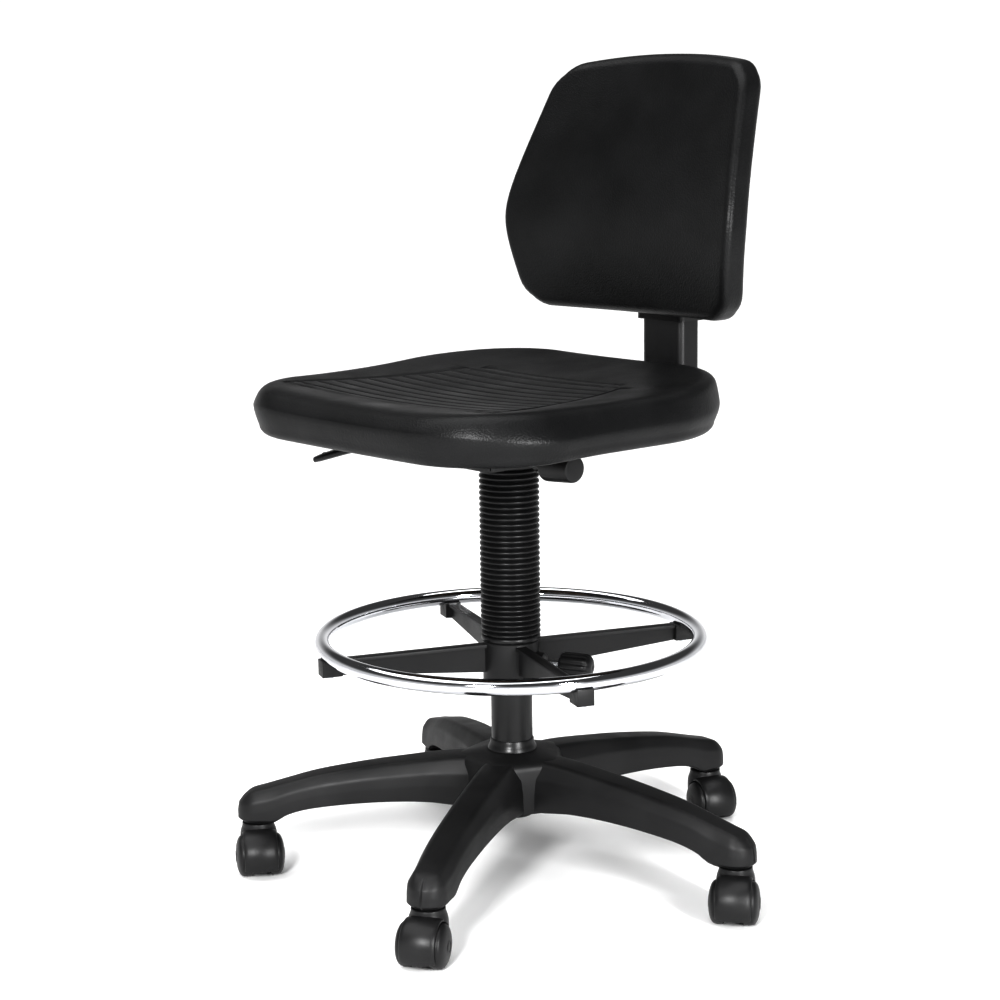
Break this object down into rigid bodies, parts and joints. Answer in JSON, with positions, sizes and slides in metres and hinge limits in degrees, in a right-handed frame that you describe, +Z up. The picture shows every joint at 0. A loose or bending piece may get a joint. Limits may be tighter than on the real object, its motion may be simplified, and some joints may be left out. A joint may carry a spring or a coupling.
{
  "type": "drafting chair",
  "caption": "Height-adjustable drafting chair with a caster base, bellows column, clamped footring, moulded seat and a backrest on a rear bar.",
  "frame": {"origin": "on the floor, on the axis of the column", "axes": "+Z up; the sitter faces -Y and the sitter's left hand is towards +X"},
  "size_m": [0.6596, 0.6551, 0.976],
  "materials": {
    "wheel_plastic": "satin moulded nylon",
    "caster_nylon": "fine textured nylon",
    "base_nylon": "textured glass-filled nylon",
    "hub_nylon": "textured nylon",
    "chrome_tube": "bright polished",
    "urethane_foam": "fine pebble grain, soft sheen",
    "bellows_rubber": "soft sheen",
    "black_steel": "satin powder coat",
    "black_plastic": "satin moulded",
    "pan_board": "dark stained plywood",
    "zinc_steel": "zinc plated"
  },
  "bodies": {
    "base": {"base_star": "base_nylon", "column_tube": "black_steel", "column_skirt": "black_plastic", "column_bushing": "black_plastic", "thrust_bearing": "zinc_steel", "caster_1_stem": "zinc_steel", "caster_2_stem": "zinc_steel", "caster_3_stem": "zinc_steel", "caster_4_stem": "zinc_steel", "caster_5_stem": "zinc_steel"},
    "lift": {"piston_rod": "chrome_tube", "rod_clip": "zinc_steel", "bellows_cover": "bellows_rubber"},
    "seat": {"gas_cylinder": "black_steel", "lift_socket": "black_steel", "mechanism_plate": "black_steel", "mechanism_housing": "black_steel", "lever_pin": "zinc_steel", "seat_cushion": "urethane_foam", "seat_pan": "pan_board", "seat_bolts": "zinc_steel", "back_pivot_pin": "zinc_steel"},
    "valve": {"valve_button": "black_plastic"},
    "lever": {"height_lever": "black_steel", "lever_paddle": "black_plastic"},
    "angle_clamp": {"angle_screw": "zinc_steel", "angle_knob": "black_plastic"},
    "back": {"back_bar": "black_steel", "back_bar_cover": "black_plastic"},
    "backrest": {"back_slider": "black_plastic", "backrest_cushion": "urethane_foam", "backrest_insert": "pan_board", "backrest_screws": "zinc_steel"},
    "back_clamp": {"back_height_screw": "zinc_steel", "back_height_knob": "black_plastic"},
    "footring": {"footring_hub": "hub_nylon", "footring_screws": "zinc_steel", "footring_tube": "chrome_tube"},
    "ring_clamp": {"footring_clamp_screw": "zinc_steel", "footring_knob": "black_plastic"},
    "caster_1": {"caster_1_hood": "caster_nylon", "caster_1_axle": "zinc_steel"},
    "caster_1_left": {"caster_1_left_wheel": "wheel_plastic"},
    "caster_1_right": {"caster_1_right_wheel": "wheel_plastic"},
    "caster_2": {"caster_2_hood": "caster_nylon", "caster_2_axle": "zinc_steel"},
    "caster_2_left": {"caster_2_left_wheel": "wheel_plastic"},
    "caster_2_right": {"caster_2_right_wheel": "wheel_plastic"},
    "caster_3": {"caster_3_hood": "caster_nylon", "caster_3_axle": "zinc_steel"},
    "caster_3_left": {"caster_3_left_wheel": "wheel_plastic"},
    "caster_3_right": {"caster_3_right_wheel": "wheel_plastic"},
    "caster_4": {"caster_4_hood": "caster_nylon", "caster_4_axle": "zinc_steel"},
    "caster_4_left": {"caster_4_left_wheel": "wheel_plastic"},
    "caster_4_right": {"caster_4_right_wheel": "wheel_plastic"},
    "caster_5": {"caster_5_hood": "caster_nylon", "caster_5_axle": "zinc_steel"},
    "caster_5_left": {"caster_5_left_wheel": "wheel_plastic"},
    "caster_5_right": {"caster_5_right_wheel": "wheel_plastic"}
  },
  "joints": [
    {"name": "seat_swivel", "type": "hinge", "parent": "base", "child": "lift", "pos_m": [0, 0, 0.08], "axis": [0, 0, 1], "continuous": true},
    {"name": "seat_height", "type": "slide", "parent": "lift", "child": "seat", "axis": [0, 0, 1], "range_m": [0, 0.2], "deforming": ["bellows_cover"]},
    {"name": "footring_height", "type": "slide", "parent": "base", "child": "footring", "axis": [0, 0, 1], "range_m": [-0.06, 0]},
    {"name": "footring_knob_turn", "type": "hinge", "parent": "footring", "child": "ring_clamp", "pos_m": [0.06066, 0.026, 0.26045], "axis": [0.9191, 0.3939, 0], "range_deg": [0, 360]},
    {"name": "height_lever_lift", "type": "hinge", "parent": "seat", "child": "lever", "pos_m": [-0.03739, -0.02319, 0.536], "axis": [-0.527, 0.8499, 0], "range_deg": [0, 5], "stiffness_Nm_per_rad": 4},
    {"name": "valve_press", "type": "slide", "parent": "seat", "child": "valve", "axis": [0, 0, 1], "range_m": [-0.004, 0], "stiffness_N_per_m": 400},
    {"name": "back_angle", "type": "hinge", "parent": "seat", "child": "back", "pos_m": [0, 0.08, 0.5215], "axis": [-1, 0, 0], "range_deg": [-2, 14]},
    {"name": "angle_knob_turn", "type": "hinge", "parent": "seat", "child": "angle_clamp", "pos_m": [0.08, -0.027, 0.513], "axis": [1, 0, 0], "range_deg": [0, 360]},
    {"name": "back_height", "type": "slide", "parent": "back", "child": "backrest", "axis": [0, 0, 1], "range_m": [-0.03, 0.05]},
    {"name": "back_knob_turn", "type": "hinge", "parent": "backrest", "child": "back_clamp", "pos_m": [0, 0.2998, 0.725], "axis": [0, 1, 0], "range_deg": [0, 360]},
    {"name": "caster_1_swivel", "type": "hinge", "parent": "base", "child": "caster_1", "pos_m": [0.30472, 0.067, 0.06], "axis": [0, 0, 1], "continuous": true},
    {"name": "caster_1_left_roll", "type": "hinge", "parent": "caster_1", "child": "caster_1_left", "pos_m": [0.31704, 0.05124, 0.025], "axis": [0.788, 0.6157, 0], "continuous": true},
    {"name": "caster_1_right_roll", "type": "hinge", "parent": "caster_1", "child": "caster_1_right", "pos_m": [0.31704, 0.05124, 0.025], "axis": [0.788, 0.6157, 0], "continuous": true},
    {"name": "caster_2_swivel", "type": "hinge", "parent": "base", "child": "caster_2", "pos_m": [0.03045, 0.31051, 0.06], "axis": [0, 0, 1], "continuous": true},
    {"name": "caster_2_left_roll", "type": "hinge", "parent": "caster_2", "child": "caster_2_left", "pos_m": [0.04899, 0.30302, 0.025], "axis": [0.3746, 0.9272, 0], "continuous": true},
    {"name": "caster_2_right_roll", "type": "hinge", "parent": "caster_2", "child": "caster_2_right", "pos_m": [0.04899, 0.30302, 0.025], "axis": [0.3746, 0.9272, 0], "continuous": true},
    {"name": "caster_3_swivel", "type": "hinge", "parent": "base", "child": "caster_3", "pos_m": [-0.28591, 0.12491, 0.06], "axis": [0, 0, 1], "continuous": true},
    {"name": "caster_3_left_roll", "type": "hinge", "parent": "caster_3", "child": "caster_3_left", "pos_m": [-0.27104, 0.11153, 0.025], "axis": [0.6691, 0.7431, 0], "continuous": true},
    {"name": "caster_3_right_roll", "type": "hinge", "parent": "caster_3", "child": "caster_3_right", "pos_m": [-0.27104, 0.11153, 0.025], "axis": [0.6691, 0.7431, 0], "continuous": true},
    {"name": "caster_4_swivel", "type": "hinge", "parent": "base", "child": "caster_4", "pos_m": [-0.20714, -0.23331, 0.06], "axis": [0, 0, 1], "continuous": true},
    {"name": "caster_4_left_roll", "type": "hinge", "parent": "caster_4", "child": "caster_4_left", "pos_m": [-0.19018, -0.24391, 0.025], "axis": [0.5299, 0.848, 0], "continuous": true},
    {"name": "caster_4_right_roll", "type": "hinge", "parent": "caster_4", "child": "caster_4_right", "pos_m": [-0.19018, -0.24391, 0.025], "axis": [0.5299, 0.848, 0], "continuous": true},
    {"name": "caster_5_swivel", "type": "hinge", "parent": "base", "child": "caster_5", "pos_m": [0.15788, -0.2691, 0.06], "axis": [0, 0, 1], "continuous": true},
    {"name": "caster_5_left_roll", "type": "hinge", "parent": "caster_5", "child": "caster_5_left", "pos_m": [0.16878, -0.28588, 0.025], "axis": [0.8387, 0.5446, 0], "continuous": true},
    {"name": "caster_5_right_roll", "type": "hinge", "parent": "caster_5", "child": "caster_5_right", "pos_m": [0.16878, -0.28588, 0.025], "axis": [0.8387, 0.5446, 0], "continuous": true}
  ],
  "couplings": [
    {"joint": "valve_press", "follows": "height_lever_lift", "m_per_rad": -0.044}
  ]
}
